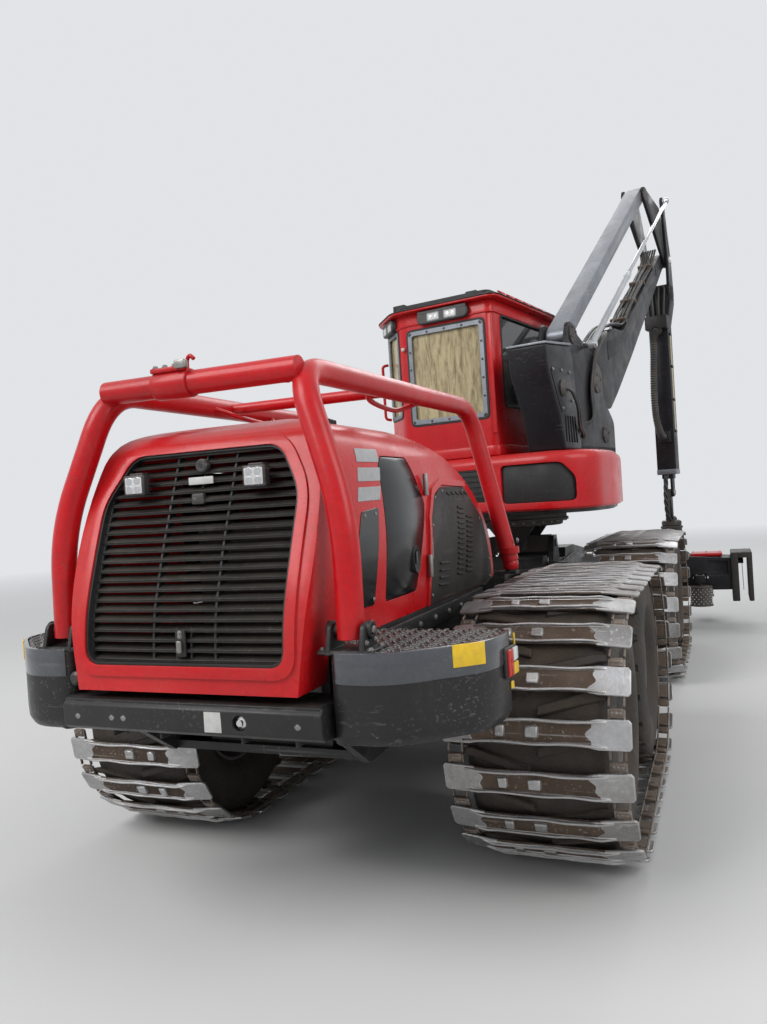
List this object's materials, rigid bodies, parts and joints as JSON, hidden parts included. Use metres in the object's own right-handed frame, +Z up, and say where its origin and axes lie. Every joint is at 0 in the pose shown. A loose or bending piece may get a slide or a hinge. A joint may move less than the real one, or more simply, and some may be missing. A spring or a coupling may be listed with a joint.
{
  "type": "forestry harvester",
  "caption": "Forestry harvester with an articulated tracked chassis, levelled cab and crane, and a harvester head with knives, feed rollers and saw.",
  "frame": {"origin": "middle of the floor under the whole machine, head included", "axes": "+X to the machine's right, +Y forward, +Z up"},
  "size_m": [3.95, 9.8376, 5.7569],
  "materials": {
    "paint_red": "weathered gloss",
    "paint_black": "satin, worn",
    "cast_black": "rough",
    "worn_steel": "scoured, rusty",
    "bright_steel": "polished",
    "steel_grey": "dusty satin",
    "tyre": "matt",
    "glass": "smoked",
    "lamp": "clear",
    "seat": "satin",
    "hose": "matt",
    "panel": "matt"
  },
  "bodies": {
    "rear": {"rear_frame": "paint_black", "rear_bogies": "paint_black", "rear_rims": "steel_grey", "rear_tyres": "tyre", "rear_track_right": "worn_steel", "rear_track_left": "worn_steel", "bumper": "paint_black", "engine_hood": "paint_red", "grille": "panel", "rear_lamps": "lamp", "engine": "cast_black"},
    "front": {"front_frame": "paint_black", "front_bogies": "paint_black", "front_rims": "steel_grey", "front_tyres": "tyre", "front_track_right": "worn_steel", "front_track_left": "worn_steel"},
    "cradle": {"level_cradle": "paint_black"},
    "base": {"slew_base": "paint_black"},
    "platform": {"platform": "paint_red", "cab_shell": "paint_red", "cab_glass": "glass", "cab_roof": "panel", "cab_lamps": "lamp", "seat": "seat", "crane_pillar": "paint_black"},
    "door": {"cab_door": "paint_red", "door_glass": "glass"},
    "guard": {"guard_frame": "paint_red"},
    "hatch_right": {"hatch_right": "panel"},
    "hatch_left": {"hatch_left": "panel"},
    "boom": {"boom": "paint_black"},
    "link": {"link_arm": "steel_grey"},
    "lift_barrel": {"lift_barrels": "paint_black"},
    "lift_rod": {"lift_rods": "bright_steel"},
    "rocker": {"rocker": "paint_black"},
    "fold_barrel": {"fold_barrels": "bright_steel"},
    "fold_rod": {"fold_rods": "bright_steel"},
    "stick": {"stick": "paint_black", "stick_hose": "hose"},
    "extension": {"extension": "paint_black"},
    "hanger": {"tip_link": "paint_black"},
    "rotator": {"rotator": "cast_black", "head_yoke": "paint_black"},
    "head": {"head_frame": "paint_black"},
    "knife_right": {"knife_right": "worn_steel"},
    "knife_left": {"knife_left": "worn_steel"},
    "roller_arm_right": {"roller_arm_right": "paint_black"},
    "roller_arm_left": {"roller_arm_left": "paint_black"},
    "roller_right": {"roller_right": "worn_steel"},
    "roller_left": {"roller_left": "worn_steel"},
    "saw_bar": {"saw_bar": "worn_steel"}
  },
  "joints": [
    {"name": "steer", "type": "hinge", "parent": "rear", "child": "front", "pos_m": [-0.36701, -0.3953, 0.95], "axis": [0, 0, 1], "range_deg": [-40, 40]},
    {"name": "guard_fold", "type": "hinge", "parent": "rear", "child": "guard", "pos_m": [-0.36701, -4.7788, 1.445], "axis": [1, 0, 0], "range_deg": [0, 75]},
    {"name": "hatch_right_open", "type": "hinge", "parent": "rear", "child": "hatch_right", "pos_m": [0.22799, -3.5288, 1.8], "axis": [0, 0, 1], "range_deg": [0, 90]},
    {"name": "hatch_left_open", "type": "hinge", "parent": "rear", "child": "hatch_left", "pos_m": [-0.96201, -3.5288, 1.8], "axis": [0, 0, -1], "range_deg": [0, 90]},
    {"name": "level_pitch", "type": "hinge", "parent": "front", "child": "cradle", "pos_m": [-0.36701, 1.0712, 1.38], "axis": [1, 0, 0], "range_deg": [-8, 8]},
    {"name": "level_roll", "type": "hinge", "parent": "cradle", "child": "base", "pos_m": [-0.36701, 1.0712, 1.38], "axis": [0, 1, 0], "range_deg": [-8, 8]},
    {"name": "slew", "type": "hinge", "parent": "base", "child": "platform", "pos_m": [-0.36701, 1.0712, 1.72], "axis": [0, 0, -1], "range_deg": [-120, 100]},
    {"name": "door_open", "type": "hinge", "parent": "platform", "child": "door", "pos_m": [-1.52579, 0.56739, 3], "axis": [0, 0, 1], "range_deg": [0, 80]},
    {"name": "boom_lift", "type": "hinge", "parent": "platform", "child": "boom", "pos_m": [0.40982, 0.98499, 3], "axis": [0.9848, -0.1736, 0], "range_deg": [-40, 40]},
    {"name": "link_turn", "type": "hinge", "parent": "platform", "child": "link", "pos_m": [0.29348, 0.32517, 3.4], "axis": [0.9848, -0.1736, 0], "range_deg": [-40, 40]},
    {"name": "lift_barrel_turn", "type": "hinge", "parent": "platform", "child": "lift_barrel", "pos_m": [0.44108, 1.16226, 2.47], "axis": [0.9848, -0.1736, 0], "range_deg": [-35.16, 35.16]},
    {"name": "lift_rod_slide", "type": "slide", "parent": "lift_barrel", "child": "lift_rod", "axis": [0.1318, 0.7473, 0.6513], "range_m": [-0.3506, 0.3506]},
    {"name": "rocker_turn", "type": "hinge", "parent": "boom", "child": "rocker", "pos_m": [0.99154, 4.2841, 4.96], "axis": [0.9848, -0.1736, 0], "range_deg": [-25.6, 25.6]},
    {"name": "fold_barrel_turn", "type": "hinge", "parent": "platform", "child": "fold_barrel", "pos_m": [0.34904, 0.64031, 3.33], "axis": [0.9848, -0.1736, 0], "range_deg": [-37.52, 37.52]},
    {"name": "stick_fold", "type": "hinge", "parent": "rocker", "child": "stick", "pos_m": [0.99154, 4.2841, 4.96], "axis": [0.9848, -0.1736, 0], "range_deg": [0, 100]},
    {"name": "fold_rod_slide", "type": "slide", "parent": "fold_barrel", "child": "fold_rod", "axis": [0.144, 0.8169, 0.5585], "range_m": [-0.9548, 0]},
    {"name": "extension_slide", "type": "slide", "parent": "stick", "child": "extension", "axis": [0, 0, -1], "range_m": [0, 1.8]},
    {"name": "tip_swing", "type": "hinge", "parent": "extension", "child": "hanger", "pos_m": [0.99501, 4.3038, 1.8], "axis": [0.9848, -0.1736, 0], "range_deg": [-20, 20]},
    {"name": "rotator_turn", "type": "hinge", "parent": "hanger", "child": "rotator", "pos_m": [0.99502, 4.3038, 1.35], "axis": [0, 0, 1], "continuous": true},
    {"name": "head_tilt", "type": "hinge", "parent": "rotator", "child": "head", "pos_m": [0.99502, 4.3038, 0.7], "axis": [0, 1, 0], "range_deg": [0, 90]},
    {"name": "knife_right_open", "type": "hinge", "parent": "head", "child": "knife_right", "pos_m": [0.66002, 4.5038, 0.64], "axis": [-1, 0, 0], "range_deg": [-55, 0]},
    {"name": "knife_left_open", "type": "hinge", "parent": "head", "child": "knife_left", "pos_m": [0.66002, 4.1038, 0.64], "axis": [1, 0, 0], "range_deg": [-55, 0]},
    {"name": "roller_arm_right_open", "type": "hinge", "parent": "head", "child": "roller_arm_right", "pos_m": [1.33502, 4.6088, 0.65], "axis": [-1, 0, 0], "range_deg": [-25, 0]},
    {"name": "roller_arm_left_open", "type": "hinge", "parent": "head", "child": "roller_arm_left", "pos_m": [1.33502, 3.9988, 0.65], "axis": [1, 0, 0], "range_deg": [-25, 0]},
    {"name": "roller_right_turn", "type": "hinge", "parent": "roller_arm_right", "child": "roller_right", "pos_m": [1.33502, 4.7738, 0.6], "axis": [0, 0, 1], "continuous": true},
    {"name": "roller_left_turn", "type": "hinge", "parent": "roller_arm_left", "child": "roller_left", "pos_m": [1.33502, 3.8338, 0.6], "axis": [0, 0, 1], "continuous": true},
    {"name": "saw_bar_turn", "type": "hinge", "parent": "head", "child": "saw_bar", "pos_m": [1.85502, 4.5038, 0.82], "axis": [1, 0, 0], "range_deg": [0, 85]}
  ],
  "couplings": [
    {"joint": "link_turn", "follows": "boom_lift", "ratio": 1},
    {"joint": "lift_barrel_turn", "follows": "boom_lift", "ratio": 0.879},
    {"joint": "lift_rod_slide", "follows": "boom_lift", "m_per_rad": 0.502},
    {"joint": "rocker_turn", "follows": "boom_lift", "ratio": -0.64},
    {"joint": "fold_barrel_turn", "follows": "boom_lift", "ratio": 0.938},
    {"joint": "fold_rod_slide", "follows": "stick_fold", "m_per_rad": -0.547},
    {"joint": "knife_left_open", "follows": "knife_right_open", "ratio": 1},
    {"joint": "roller_arm_left_open", "follows": "roller_arm_right_open", "ratio": 1}
  ]
}
